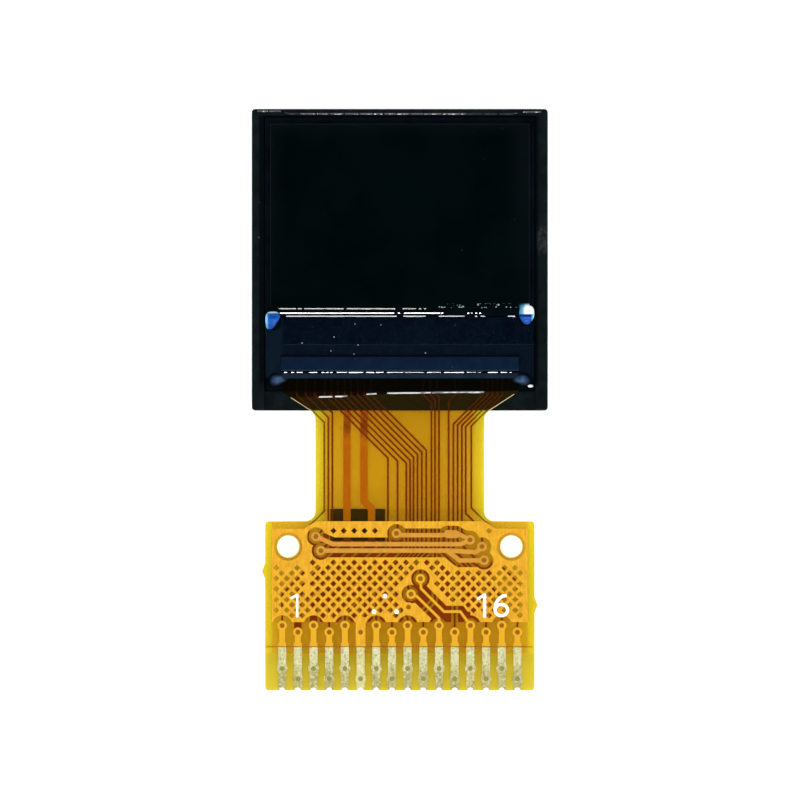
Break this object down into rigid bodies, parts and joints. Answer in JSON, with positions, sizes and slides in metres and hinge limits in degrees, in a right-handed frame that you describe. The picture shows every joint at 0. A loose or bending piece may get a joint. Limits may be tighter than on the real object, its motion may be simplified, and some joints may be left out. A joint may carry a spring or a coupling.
{
  "type": "tft lcd module",
  "caption": "Small colour display panel on a slim black backlight, with an amber two-layer flex tail that ends in staggered solder pads and two locating holes.",
  "frame": {"origin": "centre of the backlight's rear face, on the plane that it lies on", "axes": "+Z out of the screen, +Y towards the screen's top edge, away from the flex tail, +X to the viewer's right"},
  "size_m": [0.0132, 0.0259, 0.0016],
  "materials": {
    "black_moulding": "fine satin moulding",
    "white_film": "white reflective film",
    "clear_plate": "clear acrylic",
    "black_tape": "matt black tape",
    "white_housing": "white lamp housing",
    "phosphor": "yellow phosphor resin",
    "amber_film": "clear amber film",
    "copper": "etched copper",
    "rear_copper": "etched copper, dark side",
    "pad_plating": "pale plated copper",
    "solder": "bright solder",
    "black_polariser": "black polarising film",
    "dark_glass": "glass over a black mask",
    "black_seal": "cured epoxy",
    "blue_glue": "blue cured glue",
    "blue_coating": "thin blue resin",
    "silicon": "polished silicon",
    "bond_film": "cured bond film"
  },
  "bodies": {
    "root": {"backlight_frame": "black_moulding", "rear_reflector": "white_film", "light_guide": "clear_plate", "diffuser_film": "white_film", "lower_prism_film": "clear_plate", "upper_prism_film": "clear_plate", "rim_tape": "black_tape", "backlight_led": "white_housing", "led_phosphor": "phosphor", "led_flex": "amber_film", "led_flex_copper": "copper", "led_solder_joints": "solder", "rear_polarizer": "black_polariser", "array_glass": "dark_glass", "cell_seal": "black_seal", "liquid_crystal": "dark_glass", "colour_filter_glass": "dark_glass", "front_polarizer": "black_polariser", "left_edge_glue": "blue_glue", "right_edge_glue": "blue_glue", "driver_chip": "silicon", "chip_bond_film": "bond_film", "ledge_coating": "blue_coating", "flex_bond_film": "bond_film", "left_end_glue": "blue_glue", "right_end_glue": "blue_glue", "flex_base_film": "amber_film", "flex_rear_copper": "rear_copper", "flex_rear_fill": "rear_copper", "led_supply_tracks": "rear_copper", "flex_rear_coverlay": "amber_film", "flex_ground_mesh": "copper", "flex_jumpers": "copper", "solder_pads": "pad_plating", "via_barrels": "copper", "flex_front_coverlay": "amber_film", "tail_stiffener": "amber_film", "rear_insulating_tape": "black_tape"}
  },
  "joints": []
}
